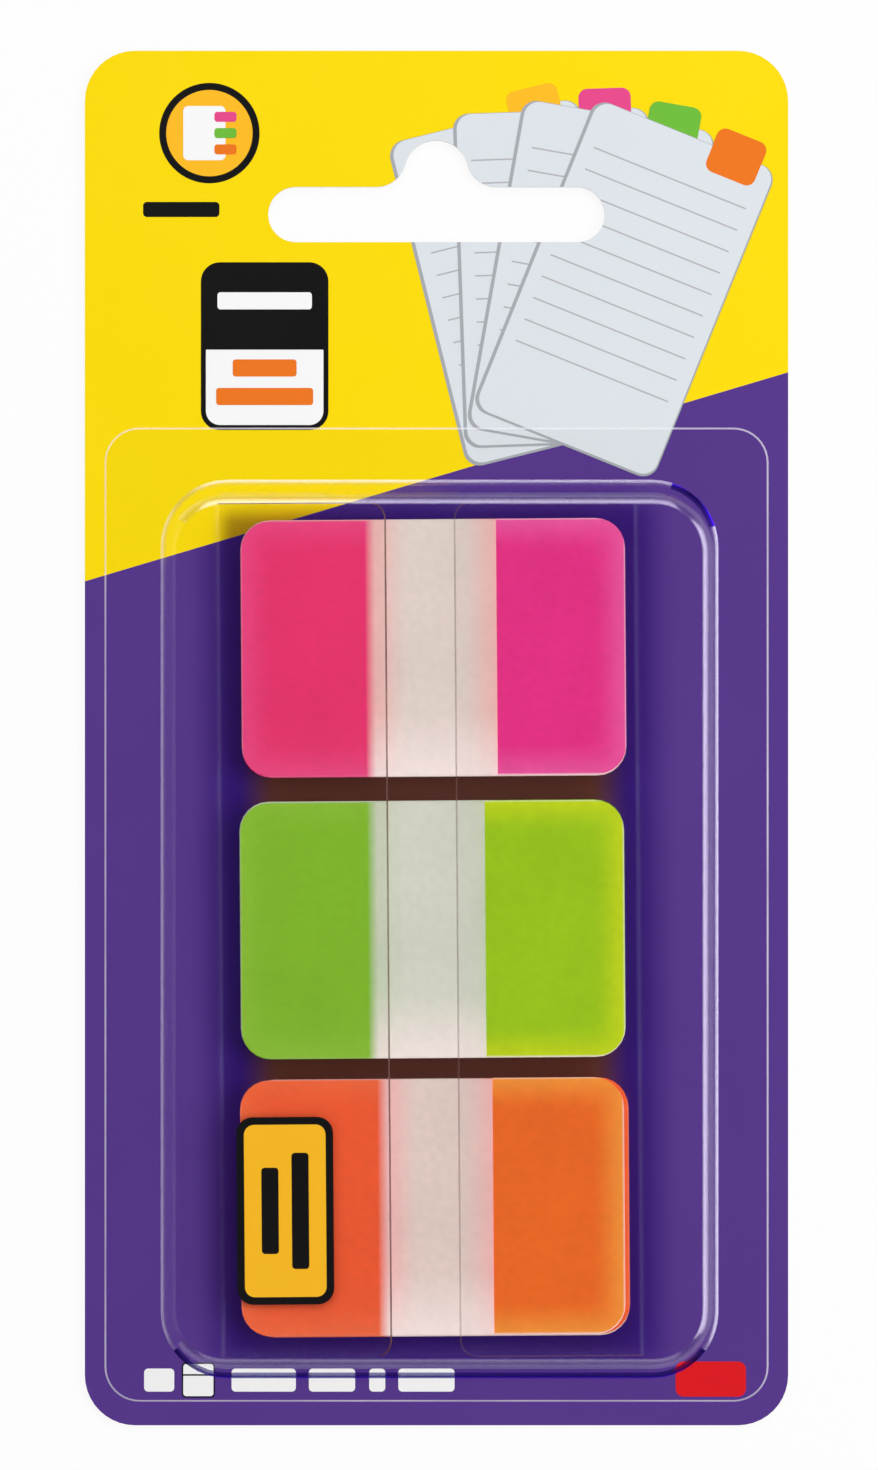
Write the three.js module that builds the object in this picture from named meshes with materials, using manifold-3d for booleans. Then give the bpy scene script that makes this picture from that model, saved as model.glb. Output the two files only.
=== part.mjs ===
// A carded blister pack of sticky index tabs, lying on the back of its card.
// Three pads of film tabs sit in a folded clear sleeve, under a clear formed blister
// that is sealed to a printed card with a hang slot.
// Millimetres. X runs across the card, +Y points to the hang slot, +Z out of the printed face.
// The origin is the middle of the card's back.

import * as THREE from "three";
import { mergeVertices } from "three/addons/utils/BufferGeometryUtils.js";
import Module from "manifold-3d";

// One tab: a film strip with rounded corners, coloured at one end and clear at the other.
const tabLength = 38.1;
const tabWidth = 25.4;
const tabThickness = 0.13;
const tabCornerRadius = 2.9;

// A pad is a stack of tabs laid head to tail, with a film of air and adhesive between them.
// Drift is how far a pad lies off its row's middle, and slip how far its lower tabs have slid.
const tabsPerPad = 12;
const sheetGap = 0.02;
const padGap = 2.3;
const pads = [
  { name: "pink", colour: 0xe8368c, drift: [0.6, 0.25], slip: [0, 0] },
  { name: "green", colour: 0xa4c814, drift: [0.3, 0], slip: [0, 0] },
  { name: "orange", colour: 0xf07420, drift: [0.1, 0.2], slip: [0.45, -0.15] },
];
const slippedTabs = 10;

// How far the tabs stray in a pad: every second one along its width, and each one any way.
const headToTailStep = 0.06;
const wander = 0.04;
const wanderPhases = [2.3, 1.7];

// The sleeve: one clear film folded round the pads, open at both ends, with a slot in front.
const sleeveFilm = 0.2;
const sleeveRoomSides = 2.2;
const sleeveRoomEnds = 2.1;
const sleeveRoomAbove = 0.1;
const slotWidth = 6.7;
const slotFromMiddle = -0.65;
const flapCornerRadius = 1.8;

// How the filled sleeve lies in the blister.
const sleeveDrift = -1;
const sleeveTurnDegrees = 0.43;

// The blister: a formed clear shell with a flange.
const blisterWall = 0.3;
const domeRoomSides = 6.45;
const domeRoomEnds = 2.35;
const domeRise = 8.5;
const domeCornerRadius = 6.8;
const domeFootRadius = 0.5;
const domeDraftSides = 0.3;
const domeDraftEnds = 1.1;
const domeRoofRadius = 1.6;
const domeFromMiddle = 0.3;
const flangeSide = 5.15;
const flangeTop = 5.05;
const flangeBottom = 2.2;
const flangeCornerRadius = 3.5;

// The card.
const cardThickness = 0.5;
const cardMarginSide = 1.95;
const cardMarginBottom = 2.35;
const cardHeader = 37.5;
const cardCornerRadius = 5;

// The hang slot: a long slot with a rounded hump above its middle.
const hangSlotFromTop = 16.3;
const hangSlotWidth = 33.5;
const hangSlotHeight = 5.5;
const humpRadius = 3.2;
const humpAboveSlot = 4.2;
const humpFilletRadius = 3;

// Clearance of everything that lies on the card's face: ink and sealing lacquer.
const faceClearance = 0.05;

// Fineness of the round stretches.
const tabCornerSteps = 6;
const cornerSteps = 10;
const profileSteps = 5;
const foldSteps = 8;

// Sizes that follow.
const padHeight = tabsPerPad * tabThickness + (tabsPerPad - 1) * sheetGap;
const padPitch = tabWidth + padGap;
const padsLength = tabWidth + (pads.length - 1) * padPitch;

const sleeveWidth = tabLength + 2 * (sleeveRoomSides + sleeveFilm);
const sleeveLength = padsLength + 2 * sleeveRoomEnds;
const sleeveHeight = padHeight + sheetGap + sleeveRoomAbove + 2 * sleeveFilm;

const domeWidth = sleeveWidth + 2 * domeRoomSides;
const domeLength = sleeveLength + 2 * domeRoomEnds;

const flangeWidth = domeWidth + 2 * flangeSide;
const flangeLength = domeLength + flangeTop + flangeBottom;

const cardWidth = flangeWidth + 2 * cardMarginSide;
const cardLength = flangeLength + cardMarginBottom + cardHeader;

const flangeMiddleY = -cardLength / 2 + cardMarginBottom + flangeLength / 2;
const domeMiddleY = flangeMiddleY + (flangeBottom - flangeTop) / 2;
const faceLevel = cardThickness + faceClearance;

const wasm = await Module();
wasm.setup();

function plastic(colour, opacity = 1) {
  return new THREE.MeshStandardMaterial({
    color: colour,
    roughness: 0.25,
    metalness: 0,
    opacity,
    transparent: opacity < 1,
  });
}

function solidFrom(geometry) {
  const bare = geometry.clone();
  bare.deleteAttribute("normal");
  bare.deleteAttribute("uv");
  const merged = mergeVertices(bare);
  return new wasm.Manifold(
    new wasm.Mesh({
      numProp: 3,
      vertProperties: merged.attributes.position.array,
      triVerts: new Uint32Array(merged.index.array),
    }),
  );
}

function geometryFrom(solid) {
  const mesh = solid.getMesh();
  const geometry = new THREE.BufferGeometry();
  geometry.setAttribute("position", new THREE.BufferAttribute(mesh.vertProperties, 3));
  geometry.setIndex(new THREE.BufferAttribute(mesh.triVerts, 1));
  return geometry;
}

// The corner points of a rounded rectangle about (0, 0), anticlockwise from the lower right corner.
function roundedRectangle(width, length, radius, steps) {
  const points = [];
  const middles = [
    [width / 2 - radius, -length / 2 + radius],
    [width / 2 - radius, length / 2 - radius],
    [-width / 2 + radius, length / 2 - radius],
    [-width / 2 + radius, -length / 2 + radius],
  ];
  middles.forEach(([x, y], corner) => {
    for (let step = 0; step <= steps; step++) {
      const angle = ((corner - 1 + step / steps) * Math.PI) / 2;
      points.push(new THREE.Vector2(x + radius * Math.cos(angle), y + radius * Math.sin(angle)));
    }
  });
  return points;
}

function plate(shape, thickness) {
  return new THREE.ExtrudeGeometry(shape, { depth: thickness, bevelEnabled: false });
}

// The hang slot's outline about the slot's own middle, clockwise from the left end.
function hangSlotPath() {
  const end = hangSlotHeight / 2;
  const straight = hangSlotWidth / 2 - end;
  // A fillet touches the slot's upper edge and the hump, so its middle is this far to the side.
  const fromHump = humpRadius + humpFilletRadius;
  const drop = humpAboveSlot - end - humpFilletRadius;
  const filletX = Math.sqrt(fromHump ** 2 - drop ** 2);
  const filletY = end + humpFilletRadius;
  const meeting = Math.atan2(humpAboveSlot - filletY, filletX);

  const path = new THREE.Path();
  path.absarc(-straight, 0, end, -Math.PI / 2, -Math.PI * 1.5, true);
  path.absarc(-filletX, filletY, humpFilletRadius, -Math.PI / 2, meeting, false);
  path.absarc(0, humpAboveSlot, humpRadius, Math.PI + meeting, -meeting, true);
  path.absarc(filletX, filletY, humpFilletRadius, Math.PI - meeting, Math.PI * 1.5, false);
  path.absarc(straight, 0, end, Math.PI / 2, -Math.PI / 2, true);
  path.closePath();
  return path;
}

function backingCard() {
  const shape = new THREE.Shape(
    roundedRectangle(cardWidth, cardLength, cardCornerRadius, cornerSteps),
  );
  const slotY = cardLength / 2 - hangSlotFromTop;
  const outline = hangSlotPath().getPoints(cornerSteps);
  shape.holes.push(new THREE.Path(outline.map((p) => new THREE.Vector2(p.x, p.y + slotY))));
  const board = new THREE.MeshStandardMaterial({ color: 0xfede00, roughness: 0.6, metalness: 0 });
  const mesh = new THREE.Mesh(plate(shape, cardThickness), board);
  mesh.name = "backing_card";
  return mesh;
}

// The blister's outer side in section, from the dome's foot to its roof: how far in from the
// dome's outline, what share of the wall's lean is added to that, and how high above the
// flange's lower side.
function domeProfile() {
  const wallFoot = blisterWall + domeFootRadius;
  const wallTop = domeRise - domeRoofRadius;
  const profile = [];
  for (let step = 0; step <= profileSteps; step++) {
    const angle = ((step / profileSteps) * Math.PI) / 2;
    profile.push({
      inset: domeFootRadius * Math.sin(angle),
      lean: 0,
      height: wallFoot - domeFootRadius * Math.cos(angle),
      outward: [-Math.sin(angle), Math.cos(angle)],
    });
  }
  for (let step = 0; step <= profileSteps; step++) {
    const angle = ((step / profileSteps) * Math.PI) / 2;
    profile.push({
      inset: domeFootRadius + domeRoofRadius * (1 - Math.cos(angle)),
      lean: 1,
      height: wallTop + domeRoofRadius * Math.sin(angle),
      outward: [-Math.cos(angle), Math.sin(angle)],
    });
  }
  return profile;
}

// One closed skin through a stack of rings that all have as many points.
function skinThrough(rings) {
  const around = rings[0].length;
  const positions = rings.flat().flatMap((p) => [p.x, p.y, p.z]);
  const faces = [];
  for (let ring = 0; ring + 1 < rings.length; ring++) {
    for (let i = 0; i < around; i++) {
      const a = ring * around + i;
      const b = ring * around + ((i + 1) % around);
      faces.push(a, b, b + around, a, b + around, a + around);
    }
  }
  const last = (rings.length - 1) * around;
  for (let i = 1; i + 1 < around; i++) {
    faces.push(0, i + 1, i);
    faces.push(last, last + i, last + i + 1);
  }
  const geometry = new THREE.BufferGeometry();
  geometry.setAttribute("position", new THREE.Float32BufferAttribute(positions, 3));
  geometry.setIndex(faces);
  return geometry;
}

function blister() {
  const flangeRing = (z) =>
    roundedRectangle(flangeWidth, flangeLength, flangeCornerRadius, cornerSteps).map(
      (p) => new THREE.Vector3(p.x, p.y + flangeMiddleY, z),
    );
  const domeRing = (inset, lean, z) =>
    roundedRectangle(
      domeWidth - 2 * (inset + lean * domeDraftSides),
      domeLength - 2 * (inset + lean * domeDraftEnds),
      domeCornerRadius - inset - lean * domeDraftSides,
      cornerSteps,
    ).map((p) => new THREE.Vector3(p.x + domeFromMiddle, p.y + domeMiddleY, z));

  const outer = domeProfile();
  // The inner side lies one wall inside the outer side, measured square to it.
  const outside = outer.map((s) => domeRing(s.inset, s.lean, faceLevel + s.height));
  const inside = outer.map((s) =>
    domeRing(
      s.inset - blisterWall * s.outward[0],
      s.lean,
      faceLevel + s.height - blisterWall * s.outward[1],
    ),
  );
  const rings = [
    ...inside.reverse(),
    flangeRing(faceLevel),
    flangeRing(faceLevel + blisterWall),
    ...outside,
  ];
  const mesh = new THREE.Mesh(skinThrough(rings), plastic(0xf4f8ff, 0.25));
  mesh.name = "blister";
  return mesh;
}

// The sleeve's section, flat with a half-round fold at each side, as a shape in X and height.
function foldedSection(width, height) {
  const fold = height / 2;
  const straight = width / 2 - fold;
  const section = new THREE.Path();
  section.absarc(straight, fold, fold, -Math.PI / 2, Math.PI / 2, false);
  section.absarc(-straight, fold, fold, Math.PI / 2, Math.PI * 1.5, false);
  return section.getPoints(foldSteps);
}

// The slot in the sleeve's front, from past one end to past the other. It widens at both ends,
// where the flaps' corners are rounded, and is its own half turn about (0, 0).
function slotShape() {
  const past = 1;
  const halfSlot = slotWidth / 2;
  const cornerX = halfSlot + flapCornerRadius;
  const cornerY = sleeveLength / 2 - flapCornerRadius;
  const upper = new THREE.Path();
  upper.absarc(cornerX, cornerY, flapCornerRadius, Math.PI, Math.PI / 2, true);
  upper.lineTo(cornerX, sleeveLength / 2 + past);
  upper.lineTo(-cornerX, sleeveLength / 2 + past);
  upper.absarc(-cornerX, cornerY, flapCornerRadius, Math.PI / 2, 0, true);
  const upperPoints = upper.getPoints(cornerSteps);
  const lowerPoints = upperPoints.map((p) => new THREE.Vector2(-p.x, -p.y));
  return new THREE.Shape([...upperPoints, ...lowerPoints]);
}

function dispenserSleeve() {
  const section = new THREE.Shape(foldedSection(sleeveWidth, sleeveHeight));
  const inner = foldedSection(sleeveWidth - 2 * sleeveFilm, sleeveHeight - 2 * sleeveFilm);
  section.holes.push(new THREE.Path(inner.map((p) => new THREE.Vector2(p.x, p.y + sleeveFilm))));
  const tube = plate(section, sleeveLength);
  tube.rotateX(Math.PI / 2);
  tube.translate(0, sleeveLength / 2, 0);
  const slot = plate(slotShape(), sleeveHeight);
  slot.translate(slotFromMiddle, 0, sleeveHeight / 2);
  const cut = solidFrom(tube).subtract(solidFrom(slot));
  const mesh = new THREE.Mesh(geometryFrom(cut), plastic(0xeef4fa, 0.3));
  mesh.name = "dispenser_sleeve";
  return mesh;
}

// One pad, on the sleeve's back film. The coloured ends point right and left in turn, and the
// top tab's points right.
function tabPad({ name, colour, drift, slip }, row) {
  const group = new THREE.Group();
  const rowY = ((pads.length - 1) / 2 - row) * padPitch;
  group.position.set(drift[0], rowY + drift[1], sleeveFilm + sheetGap);
  const outline = roundedRectangle(tabLength, tabWidth, tabCornerRadius, tabCornerSteps);
  const film = plate(new THREE.Shape(outline), tabThickness);
  for (let number = 1; number <= tabsPerPad; number++) {
    const mesh = new THREE.Mesh(film, plastic(colour));
    mesh.name = `tab_${name}_${String(number).padStart(2, "0")}`;
    const pointsRight = (tabsPerPad - number) % 2 === 0;
    const slid = number <= slippedTabs ? 1 : 0;
    const step = pointsRight ? headToTailStep : -headToTailStep;
    mesh.position.set(
      slid * slip[0] + wander * Math.sin(wanderPhases[0] * number + row),
      slid * slip[1] + wander * Math.cos(wanderPhases[1] * number + row) + step,
      (number - 1) * (tabThickness + sheetGap),
    );
    mesh.rotation.z = pointsRight ? 0 : Math.PI;
    group.add(mesh);
  }
  return group;
}

const filledSleeve = new THREE.Group();
filledSleeve.add(dispenserSleeve(), ...pads.map(tabPad));
filledSleeve.position.set(domeFromMiddle + sleeveDrift, domeMiddleY, faceLevel);
filledSleeve.rotation.z = THREE.MathUtils.degToRad(sleeveTurnDegrees);

const pack = new THREE.Group();
pack.add(backingCard(), blister(), filledSleeve);

export default pack;
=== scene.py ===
# A carded blister pack of sticky index tabs, lying on the back of its card.
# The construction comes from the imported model, and this file dresses it.

import math

import bmesh
import bpy
from mathutils import Matrix, Vector


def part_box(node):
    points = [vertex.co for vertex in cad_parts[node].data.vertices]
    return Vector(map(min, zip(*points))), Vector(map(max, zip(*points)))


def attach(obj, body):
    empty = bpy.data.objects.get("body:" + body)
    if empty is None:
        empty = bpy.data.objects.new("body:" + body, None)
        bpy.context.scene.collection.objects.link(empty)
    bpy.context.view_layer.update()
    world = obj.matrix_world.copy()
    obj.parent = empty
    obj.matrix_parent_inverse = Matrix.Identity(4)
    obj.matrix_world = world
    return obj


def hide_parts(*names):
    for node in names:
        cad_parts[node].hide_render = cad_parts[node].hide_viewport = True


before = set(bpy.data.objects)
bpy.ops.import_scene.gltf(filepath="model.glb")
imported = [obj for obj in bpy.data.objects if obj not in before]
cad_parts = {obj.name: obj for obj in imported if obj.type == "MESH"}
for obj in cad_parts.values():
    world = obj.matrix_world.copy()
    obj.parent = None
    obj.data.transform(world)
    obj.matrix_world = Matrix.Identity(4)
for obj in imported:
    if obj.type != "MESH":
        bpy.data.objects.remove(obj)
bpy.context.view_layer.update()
mm = 0.001


# Small helpers

def colour(red, green, blue, alpha=1.0):
    # from the 0-255 values of a colour picker to Blender's linear ones
    def linear(value):
        share = value / 255
        return share / 12.92 if share <= 0.04045 else ((share + 0.055) / 1.055) ** 2.4
    return (linear(red), linear(green), linear(blue), alpha)


def finishPiece(bm, name, materials, replaces=()):
    mesh = bpy.data.meshes.new(name)
    bm.to_mesh(mesh)
    bm.free()
    piece = bpy.data.objects.new(name, mesh)
    bpy.context.scene.collection.objects.link(piece)
    for material in materials:
        mesh.materials.append(material)
    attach(piece, "root")
    if replaces:
        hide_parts(*replaces)
    return piece


def mergedCopy(nodeName):
    bm = bmesh.new()
    bm.from_mesh(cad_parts[nodeName].data)
    bmesh.ops.remove_doubles(bm, verts=bm.verts, dist=0.0005 * mm)
    return bm


def smoothBelow(bm, degrees):
    # round stretches shade smoothly and real corners stay crisp
    for face in bm.faces:
        face.smooth = True
    for edge in bm.edges:
        edge.smooth = edge.calc_face_angle(0) < math.radians(degrees)


def sharpTopEdges(bm, degrees):
    return [
        edge for edge in bm.edges
        if edge.calc_face_angle(0) > math.radians(degrees)
        and any(face.normal.z > 0.9 for face in edge.link_faces)]


def roundEdges(bm, edges, size, materialIndex):
    bmesh.ops.bevel(
        bm, geom=edges, offset=size, offset_type="OFFSET", affect="EDGES", segments=2, profile=0.5,
        material=materialIndex)


def boxMiddle(nodeName):
    low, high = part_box(nodeName)
    return (Vector(low) + Vector(high)) / 2


# Small helpers for shader trees: each takes plain values or other nodes' outputs

def feed(tree, socket, value):
    if isinstance(value, bpy.types.NodeSocket):
        tree.links.new(value, socket)
    else:
        socket.default_value = value


def calc(tree, operation, *values, clamp=False):
    node = tree.nodes.new("ShaderNodeMath")
    node.operation = operation
    node.use_clamp = clamp
    for socket, value in zip(node.inputs, values):
        feed(tree, socket, value)
    return node.outputs[0]


def fade(tree, value, low, high, atLow, atHigh, smooth=False):
    node = tree.nodes.new("ShaderNodeMapRange")
    if smooth:
        node.interpolation_type = "SMOOTHSTEP"
    feed(tree, node.inputs["Value"], value)
    feed(tree, node.inputs["From Min"], low)
    feed(tree, node.inputs["From Max"], high)
    feed(tree, node.inputs["To Min"], atLow)
    feed(tree, node.inputs["To Max"], atHigh)
    return node.outputs["Result"]


def blend(tree, share, first, second, kind="MIX"):
    node = tree.nodes.new("ShaderNodeMix")
    node.data_type = "RGBA"
    node.blend_type = kind
    feed(tree, node.inputs[0], share)
    feed(tree, node.inputs[6], first)
    feed(tree, node.inputs[7], second)
    return node.outputs[2]


def scaled(tree, vector, factor):
    node = tree.nodes.new("ShaderNodeVectorMath")
    node.operation = "SCALE"
    feed(tree, node.inputs[0], vector)
    feed(tree, node.inputs["Scale"], factor)
    return node.outputs[0]


def noise(tree, place, scale, detail=2, roughness=0.5):
    node = tree.nodes.new("ShaderNodeTexNoise")
    feed(tree, node.inputs["Vector"], place)
    feed(tree, node.inputs["Scale"], scale)
    feed(tree, node.inputs["Detail"], detail)
    feed(tree, node.inputs["Roughness"], roughness)
    return node.outputs["Fac"]


def onObject(tree):
    return tree.nodes.new("ShaderNodeTexCoord").outputs["Object"]


def aboutMiddle(tree, middle, turn):
    # the object's own coordinates, counted from a middle and turned about it
    node = tree.nodes.new("ShaderNodeMapping")
    node.vector_type = "TEXTURE"
    node.inputs["Location"].default_value = (middle[0], middle[1], 0)
    node.inputs["Rotation"].default_value = (0, 0, turn)
    tree.links.new(onObject(tree), node.inputs["Vector"])
    return node.outputs["Vector"]


def axes(tree, vector):
    node = tree.nodes.new("ShaderNodeSeparateXYZ")
    tree.links.new(vector, node.inputs["Vector"])
    return node.outputs


def addBump(tree, height, strength, distance):
    node = tree.nodes.new("ShaderNodeBump")
    node.inputs["Strength"].default_value = strength
    node.inputs["Distance"].default_value = distance
    tree.links.new(height, node.inputs["Height"])
    return node.outputs["Normal"]


def newMaterial(name):
    material = bpy.data.materials.new(name)
    material.use_nodes = True
    tree = material.node_tree
    return material, tree, tree.nodes["Principled BSDF"].inputs


def newGroup(name, inputs, outputs):
    group = bpy.data.node_groups.new(name, "ShaderNodeTree")
    for label, (kind, value) in inputs.items():
        socket = group.interface.new_socket(
            name=label, in_out="INPUT", socket_type="NodeSocket" + kind)
        if value is not None:
            socket.default_value = value
    for label, kind in outputs.items():
        group.interface.new_socket(name=label, in_out="OUTPUT", socket_type="NodeSocket" + kind)
    inside = group.nodes.new("NodeGroupInput").outputs
    outside = group.nodes.new("NodeGroupOutput").inputs
    return group, inside, outside


def useGroup(tree, group, values):
    node = tree.nodes.new("ShaderNodeGroup")
    node.node_tree = group
    for label, value in values.items():
        feed(tree, node.inputs[label], value)
    return node.outputs


# Stage: camera, floor, world and lamps

stage = {
    "cameraHeight": 700 * mm,       # above the card's face
    "frameHeight": 146.3 * mm,      # what the picture takes in at the card's face, from top to bottom
    "cameraX": 0.25 * mm,
    "cameraY": 0.3 * mm,
    "sensor": 24.0,
    "floorSize": 3.0,
    "floorDrop": 0.05 * mm,
    "floorTone": 0.9,
    "floorGlow": 0.88,              # how much of the floor the camera sees as plain white
    "worldTop": 0.05,
    "worldSide": 0.4,
    "worldFrom": 0.2,               # the world darkens from this height of the sky to the next one
    "worldTo": 0.9,
    "worldMirrored": 0.15,
    "filmLayers": 32,               # how many layers of clear film a ray may pass
}

# each lamp: where it stands about the pack, how high over the horizon, its length, width and radiance
lamps = {
    "right": {"azimuth": 0, "elevation": 36, "length": 0.8, "width": 0.48, "radiance": 3.57},
    "left": {"azimuth": 180, "elevation": 34, "length": 0.8, "width": 0.36, "radiance": 1.4},
    "head": {"azimuth": 90, "elevation": 38, "length": 0.6, "width": 0.42, "radiance": 2.8},
    "foot": {"azimuth": 270, "elevation": 34, "length": 0.6, "width": 0.3, "radiance": 1.0},
}
lampDistance = 0.7


def buildCamera():
    cameraData = bpy.data.cameras.new("camera")
    cameraData.sensor_fit = "VERTICAL"
    cameraData.sensor_height = stage["sensor"]
    cameraData.lens = stage["sensor"] * stage["cameraHeight"] / stage["frameHeight"]
    camera = bpy.data.objects.new("camera", cameraData)
    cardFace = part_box("backing_card")[1][2]
    camera.location = (stage["cameraX"], stage["cameraY"], cardFace + stage["cameraHeight"])
    bpy.context.scene.collection.objects.link(camera)
    bpy.context.scene.camera = camera


def buildFloor():
    material, tree, paper = newMaterial("floorPaper")
    tone = stage["floorTone"]
    paper["Base Color"].default_value = (tone, tone, tone, 1)
    paper["Roughness"].default_value = 0.9
    paper["Specular IOR Level"].default_value = 0.1
    # the camera sees a white sheet that keeps most of the pack's shadow
    glow = tree.nodes.new("ShaderNodeEmission")
    glow.inputs["Color"].default_value = (1, 1, 1, 1)
    path = tree.nodes.new("ShaderNodeLightPath").outputs
    seen = calc(tree, "MAXIMUM", path["Is Camera Ray"], path["Is Transmission Ray"])
    mix = tree.nodes.new("ShaderNodeMixShader")
    tree.links.new(calc(tree, "MULTIPLY", seen, stage["floorGlow"]), mix.inputs["Fac"])
    tree.links.new(tree.nodes["Principled BSDF"].outputs["BSDF"], mix.inputs[1])
    tree.links.new(glow.outputs["Emission"], mix.inputs[2])
    tree.links.new(mix.outputs["Shader"], tree.nodes["Material Output"].inputs["Surface"])

    bm = bmesh.new()
    bmesh.ops.create_grid(bm, x_segments=1, y_segments=1, size=stage["floorSize"])
    bmesh.ops.translate(bm, verts=bm.verts, vec=(0, 0, -stage["floorDrop"]))
    mesh = bpy.data.meshes.new("floor")
    bm.to_mesh(mesh)
    bm.free()
    mesh.materials.append(material)
    floor = bpy.data.objects.new("floor", mesh)
    bpy.context.scene.collection.objects.link(floor)


def buildWorld():
    world = bpy.data.worlds.new("studio")
    bpy.context.scene.world = world
    world.use_nodes = True
    tree = world.node_tree
    place = tree.nodes.new("ShaderNodeTexCoord")
    height = axes(tree, place.outputs["Generated"])["Z"]
    sky = fade(
        tree, height, stage["worldFrom"], stage["worldTo"], stage["worldSide"], stage["worldTop"])
    path = tree.nodes.new("ShaderNodeLightPath").outputs
    # the camera sees plain white
    strength = calc(tree, "MAXIMUM", sky, path["Is Camera Ray"])
    # the films mirror a dark studio, so that only the lamps shine in them
    mirrored = calc(tree, "MULTIPLY_ADD", path["Is Glossy Ray"], stage["worldMirrored"] - 1, 1)
    background = tree.nodes["Background"].inputs
    background["Color"].default_value = (1, 1, 1, 1)
    tree.links.new(calc(tree, "MULTIPLY", strength, mirrored), background["Strength"])


def buildLamps():
    for name, lamp in lamps.items():
        data = bpy.data.lights.new("lamp_" + name, "AREA")
        data.shape = "RECTANGLE"
        data.size = lamp["length"]
        data.size_y = lamp["width"]
        data.energy = lamp["radiance"] * math.pi * lamp["length"] * lamp["width"]
        light = bpy.data.objects.new("lamp_" + name, data)
        bpy.context.scene.collection.objects.link(light)
        azimuth = math.radians(lamp["azimuth"])
        elevation = math.radians(lamp["elevation"])
        light.location = lampDistance * Vector((
            math.cos(elevation) * math.cos(azimuth),
            math.cos(elevation) * math.sin(azimuth),
            math.sin(elevation),
        ))
        # the lamp looks at the pack, with its long side level
        light.rotation_euler = (math.pi / 2 - elevation, 0, azimuth + math.pi / 2)


buildCamera()
buildFloor()
buildWorld()
buildLamps()
bpy.context.scene.view_settings.view_transform = "Standard"
bpy.context.scene.cycles.transparent_max_bounces = stage["filmLayers"]
print("stage done")


# Effects that several materials share

grain = {
    "broad": 60,
    "fine": 2600,
    "glossiest": 0.3,
    "dullest": 0.42,
    "depth": 0.01 * mm,
}

# painted shade on the card's ink round the pads, standing in for their shadow
padShadePaint = {
    "middle": (-0.2 * mm, -19.2 * mm),
    "turn": 0.43,
    "half": (19.6 * mm, 40.6 * mm),
    "brownInset": (4.0 * mm, 6.0 * mm),     # the painted brown shade between the pads keeps this far off their outline
    "brownFade": 4.0 * mm,
    "onPurple": {"Tint": (0.34, 0.12, 0.7, 1), "Reach": 5.0 * mm},
    "onYellow": {"Tint": (0.5, 0.42, 0.3, 1), "Reach": 2.4 * mm},
    "brown": colour(104, 56, 46),
}


def buildInkGrain():
    # ink on varnished board: tiny tone changes, and the board's fine fibre under the varnish
    group, inside, outside = newGroup(
        "inkGrain",
        {"Ink": ("Color", (0.8, 0.8, 0.8, 1)), "Amount": ("Float", 0.03)},
        {"Color": "Color", "Roughness": "Float", "Height": "Float"})
    broad = noise(group, onObject(group), grain["broad"], 2)
    fine = noise(group, onObject(group), grain["fine"], 1)
    centred = calc(group, "SUBTRACT", calc(group, "ADD", broad, fine), 1)
    change = calc(group, "MULTIPLY_ADD", centred, inside["Amount"], 1)
    rough = fade(group, broad, 0, 1, grain["glossiest"], grain["dullest"])
    feed(group, outside["Color"], scaled(group, inside["Ink"], change))
    feed(group, outside["Roughness"], rough)
    feed(group, outside["Height"], fine)
    return group


def buildFilmWaves():
    # the slow ripples of a thin film
    group, inside, outside = newGroup("filmWaves", {"Scale": ("Float", 90)}, {"Height": "Float"})
    feed(group, outside["Height"], noise(group, onObject(group), inside["Scale"], 1, 0.4))
    return group


def buildPadGloom():
    # painted shade: the card's ink is darkened and turned bluish beside the pads, and painted brownish
    # between them, in place of the pads' shadow and the colour they throw
    group, inside, outside = newGroup(
        "paintedPadShade",
        {"Color": ("Color", (0.8, 0.8, 0.8, 1)), "Tint": ("Color", (0.3, 0.22, 0.6, 1)),
         "Reach": ("Float", 5 * mm)},
        {"Color": "Color"})
    place = axes(group, aboutMiddle(group, padShadePaint["middle"], math.radians(padShadePaint["turn"])))

    def past(axis, limit):
        over = calc(group, "SUBTRACT", calc(group, "ABSOLUTE", place[axis]), limit)
        return calc(group, "MAXIMUM", over, 0)

    away = group.nodes.new("ShaderNodeCombineXYZ")
    feed(group, away.inputs["X"], past("X", padShadePaint["half"][0]))
    feed(group, away.inputs["Y"], past("Y", padShadePaint["half"][1]))
    distance = group.nodes.new("ShaderNodeVectorMath")
    distance.operation = "LENGTH"
    feed(group, distance.inputs[0], away.outputs["Vector"])
    near = fade(group, distance.outputs["Value"], 0, inside["Reach"], 1, 0, smooth=True)
    dim = blend(group, near, inside["Color"], inside["Tint"], "MULTIPLY")

    width = padShadePaint["brownFade"]
    column = past("X", padShadePaint["half"][0] - padShadePaint["brownInset"][0])
    rows = past("Y", padShadePaint["half"][1] - padShadePaint["brownInset"][1])
    between = calc(
        group, "MULTIPLY", fade(group, column, 0, width, 1, 0, smooth=True),
        fade(group, rows, 0, width, 1, 0, smooth=True))
    feed(group, outside["Color"], blend(group, between, dim, padShadePaint["brown"]))
    return group


inkGrain = buildInkGrain()
paintedPadShade = buildPadGloom()
filmWaves = buildFilmWaves()


def inkMaterial(name, ink, amount=0.03, paintedShade=None):
    material, tree, shader = newMaterial(name)
    printed = useGroup(tree, inkGrain, {"Ink": ink, "Amount": amount})
    tone = printed["Color"]
    # the painted shade round the pads, where one is given
    if paintedShade:
        tone = useGroup(tree, paintedPadShade, {"Color": tone, **paintedShade})["Color"]
    feed(tree, shader["Base Color"], tone)
    feed(tree, shader["Roughness"], printed["Roughness"])
    feed(tree, shader["Normal"], addBump(tree, printed["Height"], 0.15, grain["depth"]))
    shader["Specular IOR Level"].default_value = 0.35
    return material


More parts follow.
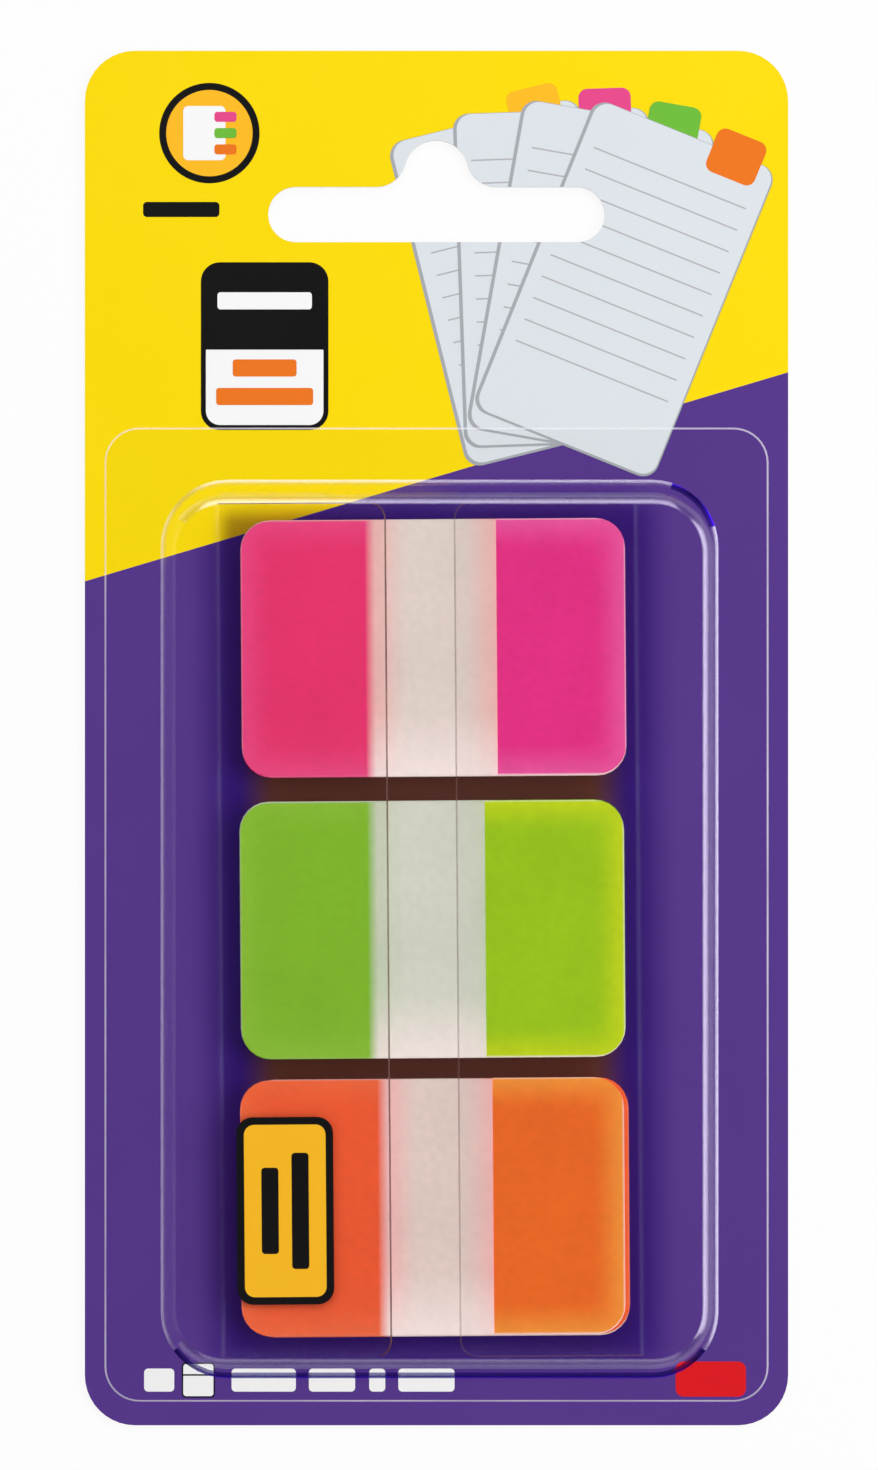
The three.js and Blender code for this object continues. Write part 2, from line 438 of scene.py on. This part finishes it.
def boardMaterial(name):
    # the bare back and the cut edges of the board
    material, tree, shader = newMaterial(name)
    stretch = tree.nodes.new("ShaderNodeMapping")
    stretch.inputs["Scale"].default_value = (900, 260, 900)
    feed(tree, stretch.inputs["Vector"], onObject(tree))
    fibre = noise(tree, stretch.outputs["Vector"], 1, 6)
    tone = tree.nodes.new("ShaderNodeValToRGB")
    tone.color_ramp.elements[0].position = 0.3
    tone.color_ramp.elements[0].color = colour(206, 200, 190)
    tone.color_ramp.elements[1].position = 0.72
    tone.color_ramp.elements[1].color = colour(236, 233, 226)
    feed(tree, tone.inputs["Fac"], fibre)
    feed(tree, shader["Base Color"], tone.outputs["Color"])
    feed(tree, shader["Normal"], addBump(tree, fibre, 0.35, 0.03 * mm))
    shader["Roughness"].default_value = 0.85
    return material


inks = {
    "yellow": inkMaterial("inkYellow", colour(254, 222, 0), 0.012, padShadePaint["onYellow"]),
    "purple": inkMaterial("inkPurple", colour(87, 55, 140), 0.05, padShadePaint["onPurple"]),
    "black": inkMaterial("inkBlack", colour(16, 15, 17)),
    "white": inkMaterial("inkWhite", colour(250, 250, 250), 0.01),
    "orange": inkMaterial("inkOrange", colour(240, 120, 30)),
    "amber": inkMaterial("inkAmber", colour(255, 190, 36)),
    "pink": inkMaterial("inkPink", colour(233, 74, 140)),
    "green": inkMaterial("inkGreen", colour(112, 190, 60)),
    "red": inkMaterial("inkRed", colour(226, 24, 32)),
    "sheet": inkMaterial("inkSheet", colour(222, 228, 233), 0.03),
    "sheetShade": inkMaterial("inkSheetShade", colour(168, 172, 178), 0.04),
    "rule": inkMaterial("inkRule", colour(178, 176, 184), 0.03),
}
boardBare = boardMaterial("boardBare")


# The card: the yellow and purple fields meet on a slope

card = {
    "slopeLeft": 15.6 * mm,         # height of the two fields' meeting line at the card's left edge
    "slopeRight": 36.4 * mm,        # and at its right edge
    "slotDrop": 16.0 * mm,          # the hang slot lies about this far under the card's upper edge
    "slotReach": (19.5 * mm, 9.0 * mm),
}


def buildCard():
    low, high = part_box("backing_card")
    bm = mergedCopy("backing_card")
    run = high[0] - low[0]
    along = Vector((run, card["slopeRight"] - card["slopeLeft"], 0))
    across = along.cross(Vector((0, 0, 1))).normalized()
    start = Vector((low[0], card["slopeLeft"], 0))
    bmesh.ops.bisect_plane(
        bm, geom=bm.verts[:] + bm.edges[:] + bm.faces[:], plane_co=start, plane_no=across, dist=1e-7)
    yellowField, purpleField, bareField = range(3)
    for face in bm.faces:
        if face.normal.z < 0.5:
            face.material_index = bareField
        elif (face.calc_center_median() - start).dot(across) > 0:
            face.material_index = purpleField
        else:
            face.material_index = yellowField
    return finishPiece(
        bm, "printed_card", [inks["yellow"], inks["purple"], boardBare],
        ["backing_card"])


buildCard()
print("card done")


# The print's shapes: thin ink layers on the card's face

inkThickness = 0.006 * mm
inkPitch = 0.008 * mm


def readHangSlot():
    # the slot's outline, as the card's own upper edges that face into it
    bm = mergedCopy("backing_card")
    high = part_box("backing_card")[1]
    middle = high[1] - card["slotDrop"]
    reachX, reachY = card["slotReach"]
    outline = []
    for edge in bm.edges:
        ends = [vert.co for vert in edge.verts]
        walls = [face.normal for face in edge.link_faces if abs(face.normal.z) < 0.5]
        level = all(abs(end.z - high[2]) < 0.01 * mm for end in ends)
        near = all(abs(end.x) < reachX and abs(end.y - middle) < reachY for end in ends)
        if level and near and len(walls) == 1:
            outline.append((ends[0].copy(), ends[1].copy(), walls[0].copy()))
    bm.free()
    return outline


def inOutline(outline, spot):
    crossings = 0
    for first, second, wall in outline:
        if (first.y > spot.y) != (second.y > spot.y):
            share = (spot.y - first.y) / (second.y - first.y)
            crossings += first.x + share * (second.x - first.x) > spot.x
    return crossings % 2 == 1


hangSlot = readHangSlot()


def cutHangSlot(bm):
    # the flat shapes are split along the slot's edges, and what lies in the slot goes
    left = min(first.x for first, second, wall in hangSlot)
    right = max(first.x for first, second, wall in hangSlot)
    low = min(first.y for first, second, wall in hangSlot)
    top = max(first.y for first, second, wall in hangSlot)
    for first, second, wall in hangSlot:
        near = [
            face for face in bm.faces
            if min(v.co.x for v in face.verts) < right and max(v.co.x for v in face.verts) > left
            and min(v.co.y for v in face.verts) < top and max(v.co.y for v in face.verts) > low]
        if not near:
            return
        around = list({item for face in near for item in (*face.verts, *face.edges)})
        bmesh.ops.bisect_plane(bm, geom=near + around, plane_co=first, plane_no=wall, dist=1e-7)
    inside = [face for face in bm.faces if inOutline(hangSlot, face.calc_center_median())]
    bmesh.ops.delete(bm, geom=inside, context="FACES")


class Ink:
    # gathers the flat shapes of one colour, which become one piece

    def __init__(self, name, base):
        self.name = name
        self.base = base
        self.bm = bmesh.new()

    def add(self, shape, layer, place, turn=0):
        bmesh.ops.rotate(shape, verts=shape.verts, matrix=Matrix.Rotation(math.radians(turn), 3, "Z"))
        bmesh.ops.translate(
            shape, verts=shape.verts, vec=(place[0], place[1], self.base + layer * inkPitch))
        part = bpy.data.meshes.new("part")
        shape.to_mesh(part)
        shape.free()
        self.bm.from_mesh(part)
        bpy.data.meshes.remove(part)

    def finish(self, material, slot):
        cutHangSlot(self.bm)
        rise = bmesh.ops.extrude_face_region(self.bm, geom=self.bm.faces[:])
        raised = [item for item in rise["geom"] if isinstance(item, bmesh.types.BMVert)]
        bmesh.ops.translate(self.bm, verts=raised, vec=(0, 0, inkThickness))
        bmesh.ops.recalc_face_normals(self.bm, faces=self.bm.faces)
        return finishPiece(self.bm, self.name, [material])


def roundedPlate(width, height, radius):
    shape = bmesh.new()
    bmesh.ops.create_grid(shape, x_segments=1, y_segments=1, size=0.5)
    bmesh.ops.scale(shape, verts=shape.verts, vec=(width, height, 1))
    if radius:
        bmesh.ops.bevel(
            shape, geom=shape.verts[:], offset=radius, offset_type="OFFSET", affect="VERTICES",
            segments=8, profile=0.5, material=-1)
    return shape


def disc(radius):
    shape = bmesh.new()
    bmesh.ops.create_circle(shape, cap_ends=True, segments=64, radius=radius)
    return shape


badge = {
    "place": (-17.1 * mm, 39.0 * mm),
    "size": (12.7 * mm, 16.7 * mm),
    "radius": 1.9 * mm,
    "line": 0.5 * mm,
    "bodyShare": 0.52,              # the white body's share of the badge's height
    "bandRise": 0.21,               # where the cap's square lower half lies, as a share of the body
    "barHeight": 1.7 * mm,
    "barRadius": 0.3 * mm,
    "capBar": (0.74, 0.27),         # each bar's length and height, as shares of the badge's sizes
    "bodyBars": ((0.5, -0.13), (0.76, -0.3)),
}

emblem = {
    "place": (-22.6 * mm, 60.2 * mm),
    "radius": 5.0 * mm,
    "ring": 0.7 * mm,
    "sheet": (4.2 * mm, 5.4 * mm),
    "sheetRadius": 0.5 * mm,
    "sheetShift": -0.5 * mm,
    "flag": (2.2 * mm, 1.0 * mm),
    "flagRadius": 0.3 * mm,
    "flagStep": 0.3,                # as a share of the sheet's height
    "bar": (7.6 * mm, 1.5 * mm),
    "barRadius": 0.4 * mm,
    "barPlace": (-25.4 * mm, 52.6 * mm),
}

footLine = {
    "height": -63.9 * mm,
    "barHeight": 2.3 * mm,
    "barRadius": 0.4 * mm,
    "bars": ((-27.6 * mm, 3.0 * mm), (-17.2 * mm, 6.4 * mm), (-10.4 * mm, 4.6 * mm),
             (-5.9 * mm, 1.6 * mm), (-1.0 * mm, 5.6 * mm)),
    "iconPlace": -23.7 * mm,
    "iconSize": (3.0 * mm, 3.2 * mm),
    "iconFrame": 0.3 * mm,
    "iconRadius": 0.3 * mm,
    "iconLine": 0.16 * mm,
    "iconLineRise": 0.16,           # as a share of the icon's height
    "redPlace": (27.3 * mm, -63.8 * mm),
    "redSize": (7.0 * mm, 3.5 * mm),
    "redRadius": 0.8 * mm,
}

fan = {
    "foot": (12.6 * mm, 29.4 * mm),
    "sheetSize": (19.0 * mm, 33.0 * mm),
    "sheetRadius": 1.5 * mm,
    "shadeMore": (0.5 * mm, 0.3 * mm),      # how much wider and longer a sheet's shade is
    "shadeShift": -0.1 * mm,
    "shadeRadius": 1.6 * mm,
    "turns": (14, 2, -10, -22),
    "ruleGap": 2.3 * mm,
    "rules": 10,
    "ruleLine": 0.14 * mm,
    "ruleShare": 0.86,              # the rules' share of a sheet's width, and the first one's height
    "flagSize": (5.2 * mm, 4.6 * mm),
    "flagRadius": 0.9 * mm,
    "flagAcross": 0.28,             # as a share of a sheet's width
    "flagDrop": 0.2 * mm,
    "flags": ("amber", "pink", "green", "orange"),
    "levels": {"shade": 0, "sheet": 0.4, "flag": 0.6, "rule": 0.8},
}


def addBadge(layers):
    # a black cap on a white body, with bars
    x, y = badge["place"]
    width, height = badge["size"]
    line = badge["line"]
    inner = width - 2 * line
    lower = height * badge["bodyShare"]

    def addBar(name, bar):
        share, rise = bar
        layers[name].add(
            roundedPlate(width * share, badge["barHeight"], badge["barRadius"]), 3,
            (x, y + height * rise))

    layers["black"].add(roundedPlate(width, height, badge["radius"]), 0, (x, y))
    layers["white"].add(
        roundedPlate(inner, lower, badge["radius"] - line), 1, (x, y - height / 2 + line + lower / 2))
    layers["black"].add(roundedPlate(inner, lower / 2, 0), 2, (x, y + lower * badge["bandRise"]))
    addBar("white", badge["capBar"])
    for bar in badge["bodyBars"]:
        addBar("orange", bar)


def addEmblem(layers):
    # a round seal with a flagged page, and a short bar under it
    x, y = emblem["place"]
    layers["black"].add(disc(emblem["radius"]), 0, (x, y))
    layers["amber"].add(disc(emblem["radius"] - emblem["ring"]), 1, (x, y))
    width, height = emblem["sheet"]
    middle = x + emblem["sheetShift"]
    layers["white"].add(roundedPlate(width, height, emblem["sheetRadius"]), 2, (middle, y))
    for row, name in enumerate(("pink", "green", "orange")):
        layers[name].add(
            roundedPlate(*emblem["flag"], emblem["flagRadius"]), 3,
            (middle + width / 2, y + height * emblem["flagStep"] * (1 - row)))
    layers["black"].add(roundedPlate(*emblem["bar"], emblem["barRadius"]), 0, emblem["barPlace"])


def addFootLine(layers):
    # white bars, a small tab drawing and a plain red patch
    for x, width in footLine["bars"]:
        layers["white"].add(
            roundedPlate(width, footLine["barHeight"], footLine["barRadius"]), 0,
            (x, footLine["height"]))
    width, height = footLine["iconSize"]
    more = footLine["iconFrame"]
    x, y = footLine["iconPlace"], footLine["height"]
    layers["black"].add(roundedPlate(width + more, height + more, footLine["barRadius"]), 0, (x, y))
    layers["white"].add(roundedPlate(width, height, footLine["iconRadius"]), 1, (x, y))
    layers["black"].add(
        roundedPlate(width, footLine["iconLine"], 0), 2, (x, y + height * footLine["iconLineRise"]))
    layers["red"].add(
        roundedPlate(*footLine["redSize"], footLine["redRadius"]), 0, footLine["redPlace"])


def addFan(layers):
    # pale sheets fanned out from their foot, with flags at their heads
    width, height = fan["sheetSize"]
    shift = fan["shadeShift"]
    levels = fan["levels"]

    def addTurned(name, shape, level, across, up):
        spot = Matrix.Rotation(math.radians(turn), 3, "Z") @ Vector((across, up, 0))
        place = (fan["foot"][0] + spot.x, fan["foot"][1] + spot.y)
        layers[name].add(shape, number + levels[level], place, turn)

    for number, turn in enumerate(fan["turns"]):
        shade = roundedPlate(
            width + fan["shadeMore"][0], height + fan["shadeMore"][1], fan["shadeRadius"])
        sheet = roundedPlate(width, height, fan["sheetRadius"])
        flag = roundedPlate(*fan["flagSize"], fan["flagRadius"])
        addTurned("sheetShade", shade, "shade", shift, height / 2 + shift)
        addTurned("sheet", sheet, "sheet", 0, height / 2)
        addTurned(
            fan["flags"][number], flag, "flag", width * fan["flagAcross"], height - fan["flagDrop"])
        for row in range(fan["rules"]):
            rule = roundedPlate(width * fan["ruleShare"], fan["ruleLine"], 0)
            addTurned("rule", rule, "rule", 0, height * fan["ruleShare"] - row * fan["ruleGap"])


def buildPrint():
    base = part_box("backing_card")[1][2] + inkPitch / 4
    fields = ("yellow", "purple")
    layers = {name: Ink("print_" + name, base) for name in inks if name not in fields}
    addBadge(layers)
    addEmblem(layers)
    addFootLine(layers)
    addFan(layers)
    for name, ink in layers.items():
        ink.finish(inks[name], "printed_card")


buildPrint()
print("print done")


# Clear films

filmLooks = {
    "highlight": (0.84, 0.78, 0.95, 1),     # what a bend's highlight is tinted with
    # the colour of the painted shade on the blister's foot
    "indigo": (0.03, 0.004, 0.42, 1),
    # the colour of the painted highlight on the blister's cut edge
    "paleEdge": colour(246, 240, 250),
    "darkEdge": colour(84, 34, 28),
    "brownEdge": colour(120, 80, 74),
    "violetEdge": colour(84, 60, 120),
}


def filmMaterial(name, mirrors, gloss, ripples=None, tone=(1, 1, 1, 1)):
    # A thin clear sheet is a mirror that lets most light through. mirrors gives the share that it
    # mirrors when seen straight on, and at a flat angle. ripples gives their scale and depth.
    faceOn, glancing = mirrors
    material, tree, shader = newMaterial(name)
    shader["Base Color"].default_value = tone
    shader["Metallic"].default_value = 1
    shader["Roughness"].default_value = gloss
    facing = tree.nodes.new("ShaderNodeLayerWeight")
    facing.inputs["Blend"].default_value = 0.5
    if ripples:
        scale, depth = ripples
        waves = useGroup(tree, filmWaves, {"Scale": scale})
        normal = addBump(tree, waves["Height"], 0.5, depth)
        feed(tree, shader["Normal"], normal)
        feed(tree, facing.inputs["Normal"], normal)
    steep = calc(tree, "POWER", facing.outputs["Facing"], 5)
    feed(tree, shader["Alpha"], calc(tree, "MULTIPLY_ADD", steep, glancing - faceOn, faceOn))
    return material


def cutEdgeMaterial(name, tone, cover):
    # the cut edge of a film is drawn as a thin line of flat colour with patchy cover: on the blister a
    # pale painted highlight, on the sleeve a dark line
    material, tree, shader = newMaterial(name)
    uneven = noise(tree, onObject(tree), 90)
    feed(tree, shader["Alpha"], fade(tree, uneven, 0.3, 0.7, cover * 0.7, cover))
    shader["Base Color"].default_value = tone
    shader["Roughness"].default_value = 0.3
    return material


def finishFilm(bm, name, looks, replaced):
    # clear film shades nothing, and takes no light from what bounces about under it
    piece = finishPiece(bm, name, looks.values(), [replaced])
    piece.visible_shadow = False
    piece.visible_diffuse = False
    return piece


blisterLooks = {
    "flat": filmMaterial("blisterFlat", (0.02, 0.6), 0.05, (60, 0.03 * mm)),
    "roofBend": filmMaterial("blisterRoofBend", (0.11, 0.14), 0.17, tone=filmLooks["highlight"]),
    "footBend": filmMaterial("blisterFootBend", (0.19, 0.23), 0.26, tone=filmLooks["highlight"]),
    # a painted highlight along the blister's cut edges
    "cutEdge": cutEdgeMaterial("blisterCutEdge", filmLooks["paleEdge"], 0.55),
    "wall": filmMaterial("blisterWall", (0.01, 0.02), 0.1, (60, 0.01 * mm)),
    # painted shade: a nearly opaque dark indigo sheet on the foot where it turns from the lamps
    "footShade": filmMaterial("blisterFootShade", (0.8, 0.8), 0.2, tone=filmLooks["indigo"]),
}

blister = {
    "bendFlattest": 0.985,          # a face is on a bend where its normal's height lies between these
    "bendSteepest": 0.22,
    "unlitFrom": -0.8,              # on the left side the roof's edge gets the wall's weak mirror, a painted shade that keeps its highlight faint
    # the foot is painted with a dark indigo shade where it turns away from the lamps, at the bottom and
    # one upper corner
    "shadeFrom": Vector((0, -1)),
    "shadeSpread": 0.6,
    "shadeCorner": Vector((0.7, 0.7)),
    "cornerSpread": 0.85,
    "edgeRound": 0.2 * mm,
    "sharp": 60,                    # degrees: an edge sharper than this was cut
    "smooth": 40,
}


def blisterLook(face, middleHeight):
    flatness = abs(face.normal.z)
    if flatness < blister["bendSteepest"]:
        return "wall"
    if flatness >= blister["bendFlattest"]:
        return "flat"
    outward = face.normal if face.normal.z > 0 else -face.normal
    facing = outward.xy.normalized()
    if face.calc_center_median().z > middleHeight:
        return "wall" if facing.x < blister["unlitFrom"] else "roofBend"
    shaded = facing.dot(blister["shadeFrom"]) > blister["shadeSpread"]
    corner = facing.dot(blister["shadeCorner"]) > blister["cornerSpread"]
    return "footShade" if shaded or corner else "footBend"


def buildBlister():
    looks = list(blisterLooks)
    middle = boxMiddle("blister")
    bm = mergedCopy("blister")
    for face in bm.faces:
        face.material_index = looks.index(blisterLook(face, middle.z))
    roundEdges(bm, sharpTopEdges(bm, blister["sharp"]), blister["edgeRound"], looks.index("cutEdge"))
    smoothBelow(bm, blister["smooth"])
    return finishFilm(bm, "blister_shell", blisterLooks, "blister")


sleeveLooks = {
    "film": filmMaterial("sleeveFilm", (0.02, 0.5), 0.12, (120, 0.02 * mm)),
    "cutEdge": cutEdgeMaterial("sleeveCutEdge", filmLooks["darkEdge"], 1.0),
    "paleEdge": cutEdgeMaterial("sleevePaleEdge", filmLooks["brownEdge"], 0.5),
    "fold": filmMaterial("sleeveFold", (0.004, 0.02), 0.3, (120, 0.01 * mm)),
    "endEdge": cutEdgeMaterial("sleeveEndEdge", filmLooks["violetEdge"], 0.2),
}

sleeve = {
    "edgeRound": 0.18 * mm,         # how much of the cut film's edge is rounded
    "turn": 0.43,
    "flapEnd": 42.3 * mm,           # past this, an edge is the sleeve's end and hardly shows
    "paleFrom": -2.0 * mm,          # right of this, a flap's edge shows less
    "foldFrom": 0.98,               # a face whose normal is less upright than this is on a fold
    "sharp": 60,
    "smooth": 50,
}

label = {
    "place": (-15.0 * mm, -46.9 * mm),
    "size": (9.6 * mm, 18.6 * mm),
    "radius": 1.6 * mm,
    "line": 0.75 * mm,
    "innerRadius": 1.0 * mm,
    "barWidth": 1.7 * mm,
    "barRadius": 0.35 * mm,
    "bars": ((1.5 * mm, 0.62), (-1.5 * mm, 0.46)),      # each bar's place and share of the height
}


def buildSleeve():
    looks = list(sleeveLooks)
    middle = boxMiddle("dispenser_sleeve")
    cutEdge = looks.index("cutEdge")
    bm = mergedCopy("dispenser_sleeve")
    for face in bm.faces:
        if abs(face.normal.z) < sleeve["foldFrom"]:
            face.material_index = looks.index("fold")
    cut = [
        edge for edge in sharpTopEdges(bm, sleeve["sharp"])
        if all(vert.co.z > middle.z for vert in edge.verts)]
    roundEdges(bm, cut, sleeve["edgeRound"], cutEdge)
    for face in bm.faces:
        spot = face.calc_center_median() - middle
        across = spot.x + math.radians(sleeve["turn"]) * spot.y
        if face.material_index == cutEdge and abs(spot.y) > sleeve["flapEnd"]:
            face.material_index = looks.index("endEdge")
        elif face.material_index == cutEdge and across > sleeve["paleFrom"]:
            face.material_index = looks.index("paleEdge")
    smoothBelow(bm, sleeve["smooth"])
    return finishFilm(bm, "film_sleeve", sleeveLooks, "dispenser_sleeve")


def buildLabel():
    # a plain label printed on the sleeve, over the last pad's left end
    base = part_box("dispenser_sleeve")[1][2] + inkPitch / 4
    layers = {name: Ink("label_" + name, base) for name in ("black", "amber")}
    x, y = label["place"]
    width, height = label["size"]
    line = label["line"]
    turn = sleeve["turn"]
    layers["black"].add(roundedPlate(width, height, label["radius"]), 0, (x, y), turn)
    layers["amber"].add(
        roundedPlate(width - 2 * line, height - 2 * line, label["innerRadius"]), 1, (x, y), turn)
    for across, share in label["bars"]:
        layers["black"].add(
            roundedPlate(label["barWidth"], height * share, label["barRadius"]), 2,
            (x + across, y), turn)
    for name, ink in layers.items():
        ink.finish(inks[name], "sleeve_film")


buildBlister()
buildSleeve()
buildLabel()
print("films done")


# The index tabs

tabs = {
    "turn": 0.43,                   # how far the pads are turned, in degrees
    "length": 38.1 * mm,
    "width": 25.4 * mm,
    "line": 0.16 * mm,              # the pale cut edge round a coloured end
    "lineShows": 0.3,               # how much of it shows on the top tab, and on the ones below
    "lineShowsBelow": 0.06,
    "rimFrom": -1.0 * mm,           # the lighter rim of a coloured end fades between these
    "rimTo": 3.4 * mm,
    "rimRound": 3.0 * mm,
    "blushFrom": 2.4 * mm,          # where the clear end starts to take on its neighbour's colour
    "blushTo": 6.6 * mm,
    "zoneBlush": 3.2 * mm,          # and how far off its own coloured end it does so
    "paleFrom": 6.4 * mm,           # a painted reflection: the clear end whitens from here to the side nearest the pack's foot
    # how strong that painted reflection gets, and its colour
    "glareMost": 0.8,
    "pale": colour(254, 236, 232),
    "clearCover": 0.015,            # how little the top tab's clear end hides
    "sharpBorder": 0.05 * mm,       # how softly the coloured end starts on the top tab
    "softBorder": 1.0 * mm,         # and on the ones below
    "cloudScale": 130,
    "markScale": 1300,
}

padLooks = {
    # zones are the coloured ends' lengths, on the top tab and on the ones below it
    "pink": {"ends": colour(233, 46, 134), "rim": colour(238, 90, 162), "frost": colour(226, 210, 202),
             "under": colour(236, 38, 108), "underRim": colour(238, 66, 132),
             "blush": colour(240, 186, 182), "zone": 12.8 * mm, "underZone": 13.3 * mm},
    "green": {"ends": colour(156, 200, 22), "rim": colour(204, 220, 24), "frost": colour(214, 214, 200),
              "under": colour(128, 186, 24), "underRim": colour(140, 192, 44),
              "blush": colour(204, 212, 186), "zone": 13.8 * mm, "underZone": 13.6 * mm},
    "orange": {"ends": colour(241, 106, 34), "rim": colour(250, 156, 60), "frost": colour(228, 206, 198),
               "under": colour(244, 86, 36), "underRim": colour(246, 104, 54),
               "blush": colour(243, 186, 184), "zone": 13.0 * mm, "underZone": 14.6 * mm},
}


def buildTabZones():
    # Vector is counted from the tab's middle, with X towards its coloured end.
    # Foot is 1 where the tab's own +Y side is nearest the pack's foot, and otherwise -1.
    group, inside, outside = newGroup(
        "tabZones",
        {"Vector": ("Vector", None), "Zone": ("Float", 13 * mm), "Softness": ("Float", 0.05 * mm),
         "Ends": ("Color", None), "Rim": ("Color", None), "Frost": ("Color", None),
         "Blush": ("Color", None), "Clear": ("Float", 0.3), "Edge": ("Float", 0.3),
         "Foot": ("Float", 1)},
        {"Color": "Color", "Alpha": "Float"})
    place = axes(group, inside["Vector"])
    border = calc(group, "SUBTRACT", tabs["length"] / 2, inside["Zone"])
    past = calc(group, "SUBTRACT", place["X"], border)
    soft = calc(group, "DIVIDE", past, inside["Softness"], clamp=True)

    # the coloured end has a lighter rim, and a pale line along its cut edge
    toSide = calc(group, "SUBTRACT", tabs["width"] / 2, calc(group, "ABSOLUTE", place["Y"]))
    toEnd = calc(group, "SUBTRACT", tabs["length"] / 2, place["X"])
    nearest = calc(group, "SMOOTH_MIN", toSide, toEnd, tabs["rimRound"])
    rim = fade(group, nearest, tabs["rimFrom"], tabs["rimTo"], 1, 0, smooth=True)
    dyed = blend(group, rim, inside["Ends"], inside["Rim"])
    cut = fade(
        group, calc(group, "MINIMUM", toSide, toEnd), tabs["line"] / 3, tabs["line"],
        inside["Edge"], 0)
    edged = blend(group, cut, dyed, (1, 1, 1, 1))

    # the clear end takes on colour from the neighbouring tabs, and a painted reflection whitens it
    # towards the pack's foot
    tip = fade(group, place["X"], -tabs["blushTo"], -tabs["blushFrom"], 1, 0, smooth=True)
    nearZone = fade(group, past, -tabs["zoneBlush"], 0, 0, 1, smooth=True)
    blushed = calc(group, "MAXIMUM", tip, nearZone)
    frosted = blend(group, blushed, inside["Frost"], inside["Blush"])
    footward = calc(group, "MULTIPLY", place["Y"], inside["Foot"])
    paintedGlare = fade(group, footward, tabs["paleFrom"], tabs["width"] / 2, 0, tabs["glareMost"])
    mixed = blend(group, soft, blend(group, paintedGlare, frosted, tabs["pale"]), edged)

    # the film is a little mottled: broad clouds in its dye, and fine marks of the adhesive
    broad = noise(group, inside["Vector"], tabs["cloudScale"], 2)
    fine = noise(group, inside["Vector"], tabs["markScale"], 3)
    clouds = fade(group, broad, 0.3, 0.7, 0.965, 1.035)
    marks = fade(group, fine, 0.3, 0.7, 0.955, 1.03)
    feed(group, outside["Color"], scaled(group, mixed, calc(group, "MULTIPLY", clouds, marks)))
    feed(group, outside["Alpha"], fade(group, soft, 0, 1, inside["Clear"], 1))
    return group


tabZones = buildTabZones()


def tabMaterial(name, look, middle, pointsRight, under):
    material, tree, shader = newMaterial(name)
    turn = math.radians(tabs["turn"]) + (0 if pointsRight else math.pi)
    zones = useGroup(tree, tabZones, {
        "Vector": aboutMiddle(tree, middle, turn),
        "Zone": look["underZone" if under else "zone"],
        "Softness": tabs["softBorder" if under else "sharpBorder"],
        "Ends": look["under" if under else "ends"],
        "Rim": look["underRim" if under else "rim"],
        "Frost": look["frost"],
        "Blush": look["blush"],
        "Clear": tabs["clearCover"],
        "Edge": tabs["lineShowsBelow" if under else "lineShows"],
        "Foot": -1 if pointsRight else 1,
    })
    feed(tree, shader["Base Color"], zones["Color"])
    if not under:
        # the tabs below cast the pad's shadow, and the top one would only shade them
        path = tree.nodes.new("ShaderNodeLightPath").outputs
        seen = calc(tree, "SUBTRACT", zones["Alpha"], path["Is Shadow Ray"], clamp=True)
        feed(tree, shader["Alpha"], seen)
    waves = useGroup(tree, filmWaves, {"Scale": 110})
    feed(tree, shader["Normal"], addBump(tree, waves["Height"], 0.4, 0.05 * mm))
    shader["Roughness"].default_value = 0.42
    shader["Specular IOR Level"].default_value = 0.3
    return material


def dressTabs():
    for padName, look in padLooks.items():
        names = sorted(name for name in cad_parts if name.startswith("tab_" + padName))
        for number, name in enumerate(names, start=1):
            fromTop = len(names) - number
            material = tabMaterial(
                name + "_film", look, boxMiddle(name), fromTop % 2 == 0, under=fromTop > 0)
            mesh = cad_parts[name].data
            mesh.materials.clear()
            mesh.materials.append(material)


dressTabs()
print("tabs done")
